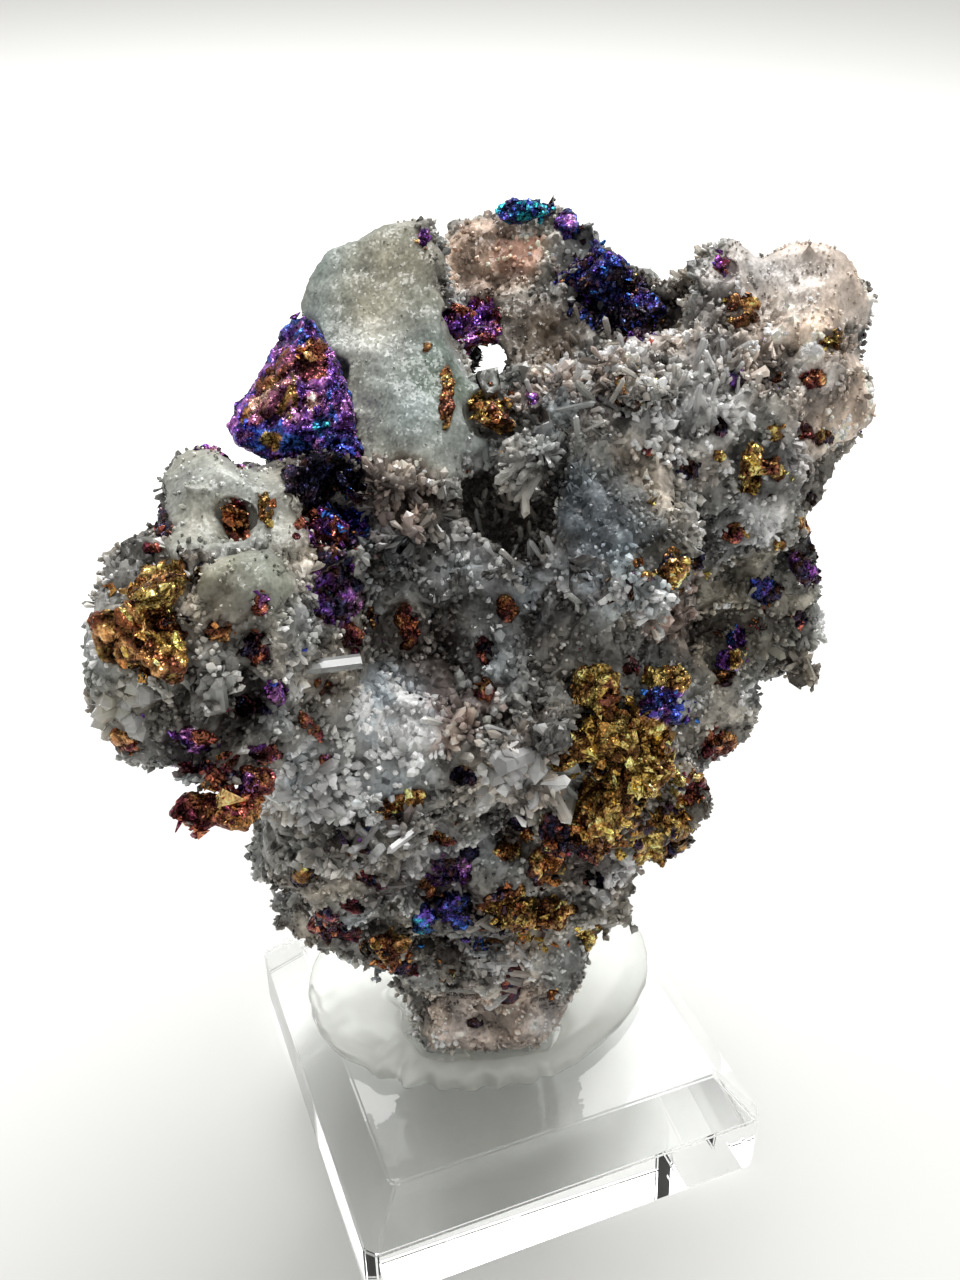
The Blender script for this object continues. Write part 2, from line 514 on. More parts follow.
def clusters(points):
    """Where each point lies in the crystal clusters.

    Gives how far it is inside its cluster, 0 at the edge to 1, and the cluster's heart.
    """
    sway = 0.7 * MM * np.stack([field(points, 2.4, seed) for seed in (11, 12, 13)], axis=1)
    inside = np.empty(len(points))
    hearts = np.empty((len(points), 3))
    for index, point in enumerate(points + sway):
        distances, centres = noise.voronoi(Vector(point) / (CLUSTER_SIZE * MM))
        inside[index] = distances[1] - distances[0]
        hearts[index] = centres[0]
    return smoothstep(inside / 0.4), hearts * (CLUSTER_SIZE * MM) - sway


def paint(mesh, colours, strength=1.0):
    """Store one colour for each point of a mesh, and how far its facets tilt."""
    layer = mesh.color_attributes.new("tint", "FLOAT_COLOR", "POINT")
    full = np.empty((len(mesh.vertices), 4), np.float32)
    full[:, :3] = np.clip(colours, 0.0, 0.95)
    full[:, 3] = strength
    layer.data.foreach_set("color", full.ravel())


def dress(piece, finish, slot, *nodes):
    """Finish a piece and name what it rides on, replaces and takes its finish from."""
    piece.data.materials.append(finish)
    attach(piece, "root")
    if nodes:
        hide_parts(*nodes)


def picked(skin, across, down):
    """The place on a surface behind a pixel of the photograph, with its normal."""
    place, normal, _, _ = skin.ray_cast(CAMERA_PLACE, picture_ray(across, down))
    return place, normal


def area_places(skin):
    """Each named area of the quartz with its place on the stone."""
    return [
        (np.array(picked(skin, across, down)[0]), *rest)
        for across, down, *rest in AREAS.values()
    ]


def area_blend(points, places):
    """Colour, crystal length and crystal width at each point, blended between the areas."""
    wobble = 2.2 * field(points, 3.8, 5) + 1.2 * field(points, 1.4, 9)
    colour = np.tile(PLAIN_COLOUR, (len(points), 1))
    length = np.full(len(points), PLAIN_LENGTH)
    width = np.full(len(points), PLAIN_WIDTH)
    for place, reach, tint, long, wide in places:
        distance = np.linalg.norm(points - place, axis=1) / MM
        share = smoothstep((reach + 1.5 - distance + wobble) / 3.0)
        colour = colour + share[:, None] * (np.array(tint) - colour)
        length += share * (long - length)
        width += share * (wide - width)
    warmth = 1.0 + 0.16 * np.outer(field(points, 7.0, 33), (1.0, 0.0, -1.1))
    return colour * warmth, length, width


def roughen(mesh, skin, length):
    """Give the ground its domes, pockets and hollows; returns how deep each point lies."""
    points = coordinates(mesh)
    outward = normals(mesh)
    craggy = 0.12 + 0.88 * smoothstep((length - 0.35) / 0.4)
    dome, _ = clusters(points)
    pocket = smoothstep((field(points, 8.0, 6) - 0.08) / 0.3)
    crack = (1.0 - dome) * np.clip(0.62 + 1.1 * field(points, 4.5, 14), 0.15, 1.2)
    depth = craggy * (DOME_RISE * crack + POCKET_DEPTH * pocket)
    for across, down, reach, deep in HOLLOWS.values():
        place = np.array(picked(skin, across, down)[0])
        distance = np.linalg.norm(points - place, axis=1) / MM
        depth += deep * smoothstep(1.25 * (1.0 - distance / reach))
    height = 0.55 * field(points, 1.5, 2) * (0.2 + 0.8 * craggy) + 0.14 * field(points, 0.6, 3)
    foot = smoothstep((points[:, 2] / MM - FOOT_TOP) / 1.8)
    move = (height - depth - GROUND_INSET) * foot * MM
    move_to(mesh, points + outward * move[:, None])
    return depth


def clouding(points):
    """How milky, and so how light, the quartz is at each point, about 1."""
    return np.exp(1.1 * field(points, 6.0, 51) + 1.0 * field(points, 2.1, 52))


def surface_samples(mesh, count, rng):
    """Random places on a mesh with their normals, and the mesh point that each is nearest."""
    mesh.calc_loop_triangles()
    corners = np.empty(len(mesh.loop_triangles) * 3, np.int32)
    mesh.loop_triangles.foreach_get("vertices", corners)
    corners = corners.reshape(-1, 3)
    points = coordinates(mesh)
    outward = normals(mesh)
    a, b, c = (points[corners[:, k]] for k in range(3))
    areas = np.linalg.norm(np.cross(b - a, c - a), axis=1)
    chosen = rng.choice(len(areas), count, p=areas / areas.sum())
    cuts = np.sort(rng.random((count, 2)), axis=1)
    weights = np.stack([cuts[:, 0], cuts[:, 1] - cuts[:, 0], 1 - cuts[:, 1]], axis=1)
    place = sum(points[corners[chosen, k]] * weights[:, k:k + 1] for k in range(3))
    normal = sum(outward[corners[chosen, k]] * weights[:, k:k + 1] for k in range(3))
    near = corners[chosen, weights.argmax(axis=1)]
    return place, unit(normal), near


def joined_mesh(name, points, faces, colours):
    """One mesh of many copies of a small closed shape.

    points is copies by corners by 3, faces lists the corners of one copy's triangles, and
    colours has one colour for each corner of each copy.
    """
    count, corners = points.shape[:2]
    index = np.arange(count)[:, None, None] * corners + np.array(faces)[None]
    index = index.reshape(-1).astype(np.int32)
    mesh = bpy.data.meshes.new(name)
    mesh.vertices.add(count * corners)
    mesh.vertices.foreach_set("co", points.reshape(-1))
    mesh.loops.add(len(index))
    mesh.loops.foreach_set("vertex_index", index)
    mesh.polygons.add(len(index) // 3)
    mesh.polygons.foreach_set("loop_start", np.arange(0, len(index), 3, dtype=np.int32))
    mesh.update(calc_edges=True)
    mesh.shade_flat()
    paint(mesh, colours.reshape(-1, 3))
    return mesh


def side_axes(direction, roll):
    """Two directions square to each given one, turned by roll."""
    helper = np.where(np.abs(direction[:, 2:3]) < 0.9, [[0, 0, 1.0]], [[1.0, 0, 0]])
    side = unit(np.cross(direction, helper))
    other = np.cross(direction, side)
    turn = roll[:, None]
    return (
        np.cos(turn) * side + np.sin(turn) * other,
        np.cos(turn) * other - np.sin(turn) * side,
    )


def crystals(name, root, direction, length, width, colours, rng, shaft=False):
    """Six-sided crystals with pointed ends, grown out of the ground.

    Each widens from its root to its shoulder; one with a shaft has straight sides.
    """
    count = len(root)
    side, other = side_axes(direction, rng.uniform(0.0, math.pi, count))
    angles = np.arange(6) * math.pi / 3
    flat = rng.uniform(0.7, 1.25, (count, 6)) * (width / 2)[:, None]
    ring = (
        np.cos(angles)[None, :, None] * side[:, None, :]
        + np.sin(angles)[None, :, None] * other[:, None, :]
    ) * flat[..., None]
    base = root - direction * (0.6 * length)[:, None]
    shoulder = root + direction * (length - TIP_SHARE * width)[:, None]
    slope = rng.uniform(-0.14, 0.14, (count, 6)) * width[:, None]
    shoulders = shoulder[:, None, :] + ring * 0.92 + direction[:, None, :] * slope[..., None]
    tip = root + direction * length[:, None]
    tip += side * (rng.uniform(-0.2, 0.2, count) * width)[:, None]
    rings = [shoulders]
    if shaft:
        rings.insert(0, base[:, None, :] + ring * 0.9)
    points = np.concatenate([base[:, None], *rings, tip[:, None]], axis=1)
    last = points.shape[1] - 1
    faces = []
    for corner in range(6):
        after = (corner + 1) % 6
        faces.append((0, 1 + after, 1 + corner))
        if shaft:
            faces.append((1 + corner, 1 + after, 7 + after))
            faces.append((1 + corner, 7 + after, 7 + corner))
        faces.append((last - 6 + corner, last - 6 + after, last))
    shades = np.full((1, last + 1, 1), ROOT_SHADE)
    shades[:, last - 6:] = 1.0
    shades[:, last] = TIP_SHADE
    return link(name, joined_mesh(name, points, faces, colours[:, None] * shades))


def fits(root, tips, ore_tree):
    """Which crystals keep clear of the ore masses, of the gel and of the model's box."""
    keep = root[:, 2] > (FOOT_TOP + 0.8) * MM
    keep &= (tips > CAD_LOW + ROOM * MM).all(axis=1)
    keep &= (tips < CAD_HIGH - ROOM * MM).all(axis=1)
    for index in np.flatnonzero(keep):
        keep[index] = ore_tree.find_nearest(Vector(root[index]))[3] > 0.4 * MM
    return keep


def crystal_colour(colour, light):
    """The crystals' colour over ground of a colour: a little paler."""
    return np.clip((0.035 + 1.3 * colour) * light[:, None], 0.0, 0.93)


def druse(ground, ground_colour, places, ore_tree, patches, milky, clear):
    """Grow the small crystals in radiating clusters all over the quartz."""
    rng = np.random.default_rng(7)
    root, outward, near = surface_samples(ground.data, DRUSE_COUNT, rng)
    _, long, wide = area_blend(root, places)
    inside, hearts = clusters(root)
    across = root - hearts
    across -= outward * np.sum(across * outward, axis=1, keepdims=True)
    direction = outward + across / (CLUSTER_SINK * MM) + rng.normal(0.0, 0.16, root.shape)
    direction = unit(direction)
    temper = field(hearts, 0.37, 21)

    size = np.exp(rng.normal(0.0, 0.25, len(root))) * (1.0 + 0.55 * temper)
    craggy = long > 0.5
    long = long * size * (1.12 - 0.5 * inside) * MM
    wide = wide * np.exp(rng.normal(0.0, 0.25, len(root))) * np.sqrt(size) * MM
    wide = np.minimum(wide, 0.9 * long)
    light = np.exp(rng.normal(0.0, 0.1, len(root)) + 1.7 * field(root, 3.0, 61))
    colour = crystal_colour(ground_colour[near], light)
    tips = root + direction * long[:, None]
    keep = fits(root, tips, ore_tree)
    keep &= rng.random(len(root)) < np.where(craggy, 0.95 - 0.6 * inside ** 2, 0.55)
    keep &= long > SHORTEST * MM
    cover, _ = ore_cover(root, outward, patches)
    keep &= cover < 0.35 + 0.65 * (rng.random(len(root)) < 0.05)

    for number, part in enumerate(np.array_split(np.flatnonzero(keep), DRUSE_PIECES)):
        piece = crystals(
            f"quartz_druse_{number + 1}", root[part], direction[part], long[part],
            wide[part], colour[part], rng)
        dress(piece, clear if number == 0 else milky, "quartz")


def spray_crystals(skin, places, finish):
    """The larger named crystals."""
    rng = np.random.default_rng(3)
    root = []
    direction = []
    length = []
    width = []
    alone = []
    for across, down, reach, count, long, wide, lean, share in SPRAYS.values():
        angle = math.radians(lean)
        towards = np.array(RIGHT * math.cos(angle) + UP * math.sin(angle))
        for _ in range(count):
            turn = rng.uniform(0.0, 2.0 * math.pi)
            step = reach * math.sqrt(rng.random())
            place, normal = picked(
                skin, across + step * math.cos(turn), down + step * math.sin(turn))
            if place is None:
                continue
            way = np.array(normal) * (1.0 - share) + towards * share
            size = math.exp(rng.normal(0.0, 0.22))
            if count == 1:
                way = towards * share - np.array(FORWARD) * (1.0 - share)
                size = 1.0
            else:
                way = way + rng.normal(0.0, 0.24, 3)
            root.append(place)
            direction.append(way)
            alone.append(count == 1)
            length.append(long * size * MM)
            width.append(wide * math.sqrt(size) * MM)
    root = np.array(root)
    direction = unit(np.array(direction))
    length = np.array(length) * SPRAY_SHARE
    width = np.array(width)
    tips = root + direction * length[:, None]
    keep = (tips > CAD_LOW + ROOM * MM).all(axis=1) & (tips < CAD_HIGH - ROOM * MM).all(axis=1)
    colour, _, _ = area_blend(root, places)
    colour = crystal_colour(colour, rng.uniform(1.25, 1.75, len(root)))
    colour[np.array(alone)] = BLUNT_COLOUR
    piece = crystals(
        "quartz_sprays", root[keep], direction[keep], length[keep], width[keep],
        colour[keep], rng, shaft=True)
    dress(piece, finish, "quartz")


def shard_shapes(rng):
    """A few angular closed shapes, each as points and triangles."""
    shapes = []
    for _ in range(SHARD_SHAPES):
        build = bmesh.new()
        for point in unit(rng.normal(0.0, 1.0, (9, 3))):
            build.verts.new(point * rng.uniform(0.8, 1.1))
        hull = bmesh.ops.convex_hull(build, input=build.verts[:])
        loose = [item for item in hull["geom_interior"] if isinstance(item, bmesh.types.BMVert)]
        bmesh.ops.delete(build, geom=loose, context="VERTS")
        bmesh.ops.triangulate(build, faces=build.faces[:])
        bmesh.ops.recalc_face_normals(build, faces=build.faces[:])
        build.verts.index_update()
        points = np.array([vert.co[:] for vert in build.verts])
        faces = [[vert.index for vert in face.verts] for face in build.faces]
        shapes.append((points, faces))
        build.free()
    return shapes


def picture_places(points):
    """Where points show in the photograph, as pixels across and down."""
    away = points - np.array(CAMERA_PLACE)
    deep = away @ np.array(FORWARD)
    across = PHOTO_WIDTH / 2 + FOCAL_PIXELS * (away @ np.array(RIGHT)) / deep
    down = PHOTO_HEIGHT / 2 - FOCAL_PIXELS * (away @ np.array(UP)) / deep
    return across, down


def ore_patches(skin, ground, rng):
    """Where chalcopyrite covers the quartz.

    Each patch has its middle, its reach in millimetres, its lay, its two hues and its row of
    the table, which is None on the sides that the photograph doesn't show.
    """
    patches = []
    for name, row in ORE_FIELDS.items():
        across, down, wide, high, turn, _, _, hue, mix_hue = row
        place, _ = picked(skin, across, down)
        if place is None:
            continue
        tilt = math.radians(turn)
        lay = RIGHT * math.cos(tilt) - UP * math.sin(tilt)
        if high > wide:
            lay = -RIGHT * math.sin(tilt) - UP * math.cos(tilt)
        if name not in FOLIATED:
            lay = Vector()
        reach = max(wide, high) * (place - CAMERA_PLACE).dot(FORWARD) / FOCAL_PIXELS / MM
        patches.append((np.array(place), reach, np.array(lay), hue, mix_hue, row))

    samples, facings, _ = surface_samples(ground.data, 6000, rng)
    hidden = facings @ np.array(FORWARD) > -0.05
    hidden &= samples[:, 2] > 20 * MM
    for place in samples[rng.choice(np.flatnonzero(hidden), BACK_FIELDS, replace=False)]:
        hue, mix_hue = rng.choice(list(MASS_HUES.values()))
        patches.append((place, rng.uniform(1.2, 3.4), np.zeros(3), hue, mix_hue, None))
    return patches


def ore_cover(points, outward, patches):
    """How far chalcopyrite covers each point, 0 to 1, and the number of its patch or -1."""
    across, down = picture_places(points)
    seen = np.sum(outward * unit(np.array(CAMERA_PLACE) - points), axis=1) > -0.15
    ragged = 0.35 * field(points, 1.7, 41) + 0.25 * field(points, 0.7, 42)
    cover = np.zeros(len(points))
    owner = np.full(len(points), -1)
    for index, (place, reach, _, _, _, row) in enumerate(patches):
        distance = np.linalg.norm(points - place, axis=1) / MM
        near = distance < 1.4 * reach + 1.2
        if row is None:
            radius = distance / reach
            near &= ~seen
        else:
            tilt = math.radians(row[4])
            x = across - row[0]
            y = down - row[1]
            u = x * math.cos(tilt) + y * math.sin(tilt)
            v = y * math.cos(tilt) - x * math.sin(tilt)
            radius = np.hypot(u / row[2], v / row[3])
            near &= seen
        share = smoothstep((1.1 - radius + ragged) / 0.3) * near
        owner = np.where((share > 0.45) | ((share > 0.0) & (owner < 0)), index, owner)
        cover = np.maximum(cover, share)
    return cover, owner


def streaked(points, lay):
    """Points drawn together along the lay, so that noise over them runs in streaks."""
    return points - 0.82 * (points @ lay)[:, None] * lay


def tarnish(points, hue, mix_hue, lay):
    """Tarnish colours: the shades of one hue, with zones of another."""
    spots = streaked(points, lay)
    step = 2.0 + 3.4 * field(spots, 1.5, 7) + 1.8 * field(spots, 0.5, 15)
    step = np.clip(np.abs(step), 0.0, 2.99)
    low = step.astype(int)
    part = (step - low)[:, None]
    own, other = (np.array(HUES[name]) for name in (hue, mix_hue))
    share = smoothstep((field(spots, 2.3, 8) + 0.5 * field(spots, 0.6, 16)) / 0.2)[:, None]
    first = own[low] * (1 - part) + own[low + 1] * part
    second = other[low] * (1 - part) + other[low + 1] * part
    return first * (1 - share) + second * share


def ore_relief(points):
    """The relief of broken chalcopyrite in millimetres, and its shade: dark in the gaps."""
    height = 0.14 * field(points, 0.5, 4)
    shade = np.ones(len(points))
    for size, rise, tilt, depth in ORE_BREAKS:
        gap = np.empty(len(points))
        level = np.empty(len(points))
        for index, point in enumerate(points):
            spot = Vector(point) / (size * MM)
            distances, centres = noise.voronoi(spot)
            gap[index] = distances[1] - distances[0]
            lean = noise.noise_vector(centres[0] * 2.9).dot(spot - centres[0])
            level[index] = rise * noise.noise(centres[0] * 3.7) + tilt * lean
        inside = smoothstep(gap / 0.3)
        height += level - depth * (1.0 - inside)
        shade *= (0.4 + 0.6 * inside) * np.clip(1.05 + 0.7 * level / rise, 0.4, 1.7)
    return height, shade


def ore_tints(points, owner, patches, hues, shade):
    """The painted colour of every point of a chalcopyrite surface."""
    colours = np.empty((len(points), 3))
    for index in np.unique(owner):
        chosen = owner == index
        if index < 0:
            colours[chosen] = tarnish(points[chosen], *hues, np.zeros(3))
        else:
            _, _, lay, hue, mix_hue, _ = patches[index]
            colours[chosen] = tarnish(points[chosen], hue, mix_hue, lay)
    return colours * shade[:, None]


def ore_mass(name, patches, finish):
    """One chalcopyrite mass, broken into plates and grains."""
    piece = remeshed(
        name.replace("chalcopyrite", "ore"), name, ORE_VOXEL, ORE_SMOOTHING, name in WHOLE_ORE)
    mesh = piece.data
    points = coordinates(mesh)
    outward = normals(mesh)
    _, owner = ore_cover(points, outward, patches)
    height, shade = ore_relief(points)
    moved = points + outward * ((height - 0.1) * MM)[:, None]
    move_to(mesh, np.clip(moved, CAD_LOW + ROOM * MM, CAD_HIGH - ROOM * MM))
    paint(mesh, ore_tints(points, owner, patches, MASS_HUES[name], shade))
    dress(piece, finish, "chalcopyrite", name)


def ore_crust(ground, patches, finish):
    """The chalcopyrite that lies on the quartz, as one crust shaped to the ground."""
    points = coordinates(ground.data)
    cover, _ = ore_cover(points, normals(ground.data), patches)
    corners = np.empty(len(ground.data.polygons) * 4, np.int32)
    ground.data.polygons.foreach_get("vertices", corners)
    corners = corners.reshape(-1, 4)
    faces = corners[cover[corners].max(axis=1) > 0.02]
    used, index = np.unique(faces, return_inverse=True)
    mesh = bpy.data.meshes.new("chalcopyrite_crust")
    mesh.from_pydata(points[used].tolist(), [], index.reshape(-1, 4).tolist())
    crust = link("chalcopyrite_crust", mesh)
    finer = crust.modifiers.new("finer", "SUBSURF")
    finer.levels = 1
    settle(crust)

    mesh = crust.data
    points = coordinates(mesh)
    outward = normals(mesh)
    cover, owner = ore_cover(points, outward, patches)
    height, shade = ore_relief(points)
    rise = (CRUST_RISE + height) * smoothstep(cover / 0.7) - 0.25 * (1.0 - cover)
    moved = points + outward * (rise * MM)[:, None]
    move_to(mesh, np.clip(moved, CAD_LOW + ROOM * MM, CAD_HIGH - ROOM * MM))
    paint(mesh, ore_tints(points, owner, patches, ("dark", "copper"), shade))
    dress(crust, finish, "chalcopyrite")


def hue_colours(hue, mix_hue, count, rng):
    """Random tarnish colours of one hue with some of another."""
    pick = rng.choice(4, count, p=(0.4, 0.25, 0.2, 0.15))
    base = np.array(HUES[hue])[pick]
    other = np.array(HUES[mix_hue])[pick]
    swap = rng.random(count) < 0.3
    colours = np.where(swap[:, None], other, base)
    return colours * rng.uniform(0.75, 1.25, (count, 1))


def ore_places(skin, ground, places, patches, rng):
    """Every loose chalcopyrite grain: its place, outward direction, lay, size and colour."""
    place = []
    normal = []
    lay = []
    size = []
    colour = []
    samples, facings, _ = surface_samples(ground.data, 9000, rng)
    tree = point_tree(samples)
    for middle, reach, way, hue, mix_hue, row in patches:
        if row is None:
            near = [index for _, index, _ in tree.find_range(Vector(middle), reach * MM)]
            hits = [(samples[index], facings[index]) for index in near]
            grain = 1.0
        else:
            across, down, wide, high, turn, count, grain, _, _ = row
            tilt = math.radians(turn)
            hits = []
            share = GRAIN_SHARE if not way.any() else 0.3 * GRAIN_SHARE
            for _ in range(math.ceil(count * share)):
                angle = rng.uniform(0.0, 2.0 * math.pi)
                step = math.sqrt(rng.random())
                x = wide * step * math.cos(angle)
                y = high * step * math.sin(angle)
                hits.append(picked(
                    skin,
                    across + x * math.cos(tilt) - y * math.sin(tilt),
                    down + x * math.sin(tilt) + y * math.cos(tilt)))
            hits = [hit for hit in hits if hit[0] is not None]
        colours = hue_colours(hue, mix_hue, len(hits), rng)
        for number, (hit, facing) in enumerate(hits):
            place.append(hit)
            normal.append(facing)
            lay.append(way)
            size.append(grain * GRAIN_SIZE * math.exp(rng.normal(0.0, 0.3)) * MM)
            colour.append(colours[number])

    _, long, _ = area_blend(samples, places)
    speckable = (field(samples, 8.0, 6) > 0.1) & (long > 0.55) & (samples[:, 2] > 20 * MM)
    speckable = np.flatnonzero(speckable)
    for index in rng.choice(speckable, min(SPECKS, len(speckable)), replace=False):
        hue = rng.choice(["gold", "copper", "red", "purple", "dark"])
        place.append(samples[index])
        normal.append(facings[index])
        lay.append(np.zeros(3))
        size.append(0.62 * math.exp(rng.normal(0.0, 0.25)) * MM)
        colour.append(hue_colours(hue, "dark", 1, rng)[0])
    return tuple(np.array(values) for values in (place, normal, lay, size, colour))


def ore_grains(place, normal, lay, size, colour, rng, finish):
    """The loose chalcopyrite grains, as joined angular crystals."""
    shapes = shard_shapes(rng)
    kind = rng.integers(0, len(shapes), len(place))
    all_points = []
    all_faces = []
    all_colours = []
    start = 0
    for index, (corners, faces) in enumerate(shapes):
        chosen = np.flatnonzero(kind == index)
        count = len(chosen)
        flat = np.linalg.norm(lay[chosen], axis=1, keepdims=True) > 0.5
        stray = np.where(flat, 0.3, 0.9) * rng.normal(0.0, 1.0, (count, 3))
        axis = unit(normal[chosen] + stray)
        first, second = side_axes(axis, rng.uniform(0.0, 6.3, count))
        along = lay[chosen] + 0.3 * rng.normal(0.0, 1.0, (count, 3))
        along = unit(along - axis * np.sum(along * axis, axis=1, keepdims=True))
        first = np.where(flat, along, first)
        second = np.where(flat, np.cross(axis, along), second)
        scale = rng.uniform(0.28, 0.62, (count, 3))
        scale = np.where(flat, scale * (1.7, 0.75, 0.5), scale) * size[chosen, None]
        rise = rng.uniform(-0.12, 0.32, count)
        local = corners[None] * scale[:, None, :]
        points = (
            local[..., 0:1] * first[:, None] + local[..., 1:2] * second[:, None]
            + local[..., 2:3] * axis[:, None]
        )
        points += (place[chosen] + normal[chosen] * (rise * size[chosen])[:, None])[:, None]
        points = np.clip(points, CAD_LOW + ROOM * MM, CAD_HIGH - ROOM * MM)
        tints = colour[chosen][:, None] * rng.uniform(0.7, 1.3, (count, len(corners), 1))
        tints *= (0.45 + 2.0 * (rise + 0.12))[:, None, None]
        all_points.append(points.reshape(-1, 3))
        all_colours.append(tints.reshape(-1, 3))
        offsets = start + np.arange(count)[:, None, None] * len(corners)
        all_faces.append((offsets + np.array(faces)[None]).reshape(-1, 3))
        start += count * len(corners)
    points = np.concatenate(all_points)[None]
    faces = np.concatenate(all_faces)
    colours = np.concatenate(all_colours)[None]
    piece = link("chalcopyrite_grains", joined_mesh(
        "chalcopyrite_grains", points, faces, colours))
    dress(piece, finish, "chalcopyrite")


def shader_material(name):
    """A new material, with its tree and its Principled shader."""
    made = bpy.data.materials.new(name)
    made.use_nodes = True
    return made, made.node_tree, made.node_tree.nodes["Principled BSDF"]


def facets(tree, normal, scale, strength):
    """The normal turned its own way in each small cell, as crystal faces lie.

    strength is a number or the socket that gives it.
    """
    place = tree.nodes.new("ShaderNodeTexCoord")
    cells = tree.nodes.new("ShaderNodeTexVoronoi")
    cells.inputs["Scale"].default_value = scale
    middle = tree.nodes.new("ShaderNodeVectorMath")
    middle.operation = "SUBTRACT"
    middle.inputs[1].default_value = (0.5, 0.5, 0.5)
    tilt = tree.nodes.new("ShaderNodeVectorMath")
    tilt.operation = "SCALE"
    total = tree.nodes.new("ShaderNodeVectorMath")
    total.operation = "ADD"
    final = tree.nodes.new("ShaderNodeVectorMath")
    final.operation = "NORMALIZE"
    tree.links.new(place.outputs["Object"], cells.inputs["Vector"])
    tree.links.new(cells.outputs["Color"], middle.inputs[0])
    tree.links.new(middle.outputs["Vector"], tilt.inputs[0])
    if isinstance(strength, float):
        tilt.inputs["Scale"].default_value = strength
    else:
        tree.links.new(strength, tilt.inputs["Scale"])
    tree.links.new(tilt.outputs["Vector"], total.inputs[0])
    tree.links.new(normal, total.inputs[1])
    tree.links.new(total.outputs["Vector"], final.inputs[0])
    return final.outputs["Vector"]


def mottle(tree, source, scale, low, high):
    """The source colour made lighter and darker by noise."""
    place = tree.nodes.new("ShaderNodeTexCoord")
    grain = tree.nodes.new("ShaderNodeTexNoise")
    grain.inputs["Scale"].default_value = scale
    grain.inputs["Detail"].default_value = 3.0
    levels = tree.nodes.new("ShaderNodeMapRange")
    levels.inputs["From Min"].default_value = 0.3
    levels.inputs["From Max"].default_value = 0.7
    levels.inputs["To Min"].default_value = low
    levels.inputs["To Max"].default_value = high
    mix = tree.nodes.new("ShaderNodeVectorMath")
    mix.operation = "SCALE"
    tree.links.new(place.outputs["Object"], grain.inputs["Vector"])
    tree.links.new(grain.outputs["Fac"], levels.inputs["Value"])
    tree.links.new(source, mix.inputs[0])
    tree.links.new(levels.outputs["Result"], mix.inputs["Scale"])
    return mix.outputs["Vector"]


def ground_finish():
    """Sugary quartz: the painted tint with cloudy patches, grain and glinting facets."""
    made, tree, shader = shader_material("quartz_ground")
    tint = tree.nodes.new("ShaderNodeVertexColor")
    tint.layer_name = "tint"
    cloudy = mottle(tree, tint.outputs["Color"], 380.0, 0.72, 1.35)
    grainy = mottle(tree, cloudy, 2600.0, 0.85, 1.18)
    tree.links.new(grainy, shader.inputs["Base Color"])
    facing = tree.nodes.new("ShaderNodeNewGeometry").outputs["Normal"]
    coarse = facets(tree, facing, 1700.0, tint.outputs["Alpha"])
    fine = facets(tree, coarse, 4200.0, 0.42)
    tree.links.new(fine, shader.inputs["Normal"])
    shader.inputs["Roughness"].default_value = 0.34
    shader.inputs["IOR"].default_value = 1.54
    return made


def crystal_finish(name, roughness, transmission):
    """Clear or milky quartz crystals, tinted by where they grow."""
    made, tree, shader = shader_material(name)
    tint = tree.nodes.new("ShaderNodeVertexColor")
    tint.layer_name = "tint"
    cloudy = mottle(tree, tint.outputs["Color"], 900.0, 0.85, 1.12)
    tree.links.new(cloudy, shader.inputs["Base Color"])
    shader.inputs["Roughness"].default_value = roughness
    shader.inputs["IOR"].default_value = 1.54
    shader.inputs["Transmission Weight"].default_value = transmission
    return made


def ore_finish():
    """Tarnished chalcopyrite: metallic, with facets and patches of shifting colour."""
    made, tree, shader = shader_material("chalcopyrite")
    tint = tree.nodes.new("ShaderNodeVertexColor")
    tint.layer_name = "tint"
    patchy = mottle(tree, tint.outputs["Color"], 1500.0, 0.6, 1.5)
    grainy = mottle(tree, patchy, 4200.0, 0.5, 1.7)
    tree.links.new(grainy, shader.inputs["Base Color"])
    facing = tree.nodes.new("ShaderNodeNewGeometry").outputs["Normal"]
    tree.links.new(facets(tree, facing, 5200.0, 1.1), shader.inputs["Normal"])
    shader.inputs["Metallic"].default_value = 0.92
    shader.inputs["Roughness"].default_value = 0.25
    return made


def clear_finish(name, colour, roughness, ior):
    """A clear material."""
    made, _, shader = shader_material(name)
    shader.inputs["Base Color"].default_value = (*colour, 1.0)
    shader.inputs["Roughness"].default_value = roughness
    shader.inputs["IOR"].default_value = ior
    shader.inputs["Transmission Weight"].default_value = 1.0
    return made


def acrylic_block():
    """The clear block, with its edges eased."""
    block = link("display_block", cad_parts["acrylic_block"].data.copy())
    block.data.materials.clear()
    build = bmesh.new()
    build.from_mesh(block.data)
    bmesh.ops.remove_doubles(build, verts=build.verts[:], dist=0.01 * MM)
    bmesh.ops.dissolve_limit(
        build, angle_limit=math.radians(1), verts=build.verts[:], edges=build.edges[:])
    bmesh.ops.bevel(
        build, geom=build.edges[:], offset=0.25 * MM, segments=2, affect="EDGES",
        clamp_overlap=True)
    build.to_mesh(block.data)
    build.free()
    dress(block, clear_finish("acrylic", (0.97, 0.98, 0.97), 0.01, 1.49), "clear_acrylic",
          "acrylic_block")
    block.visible_shadow = False


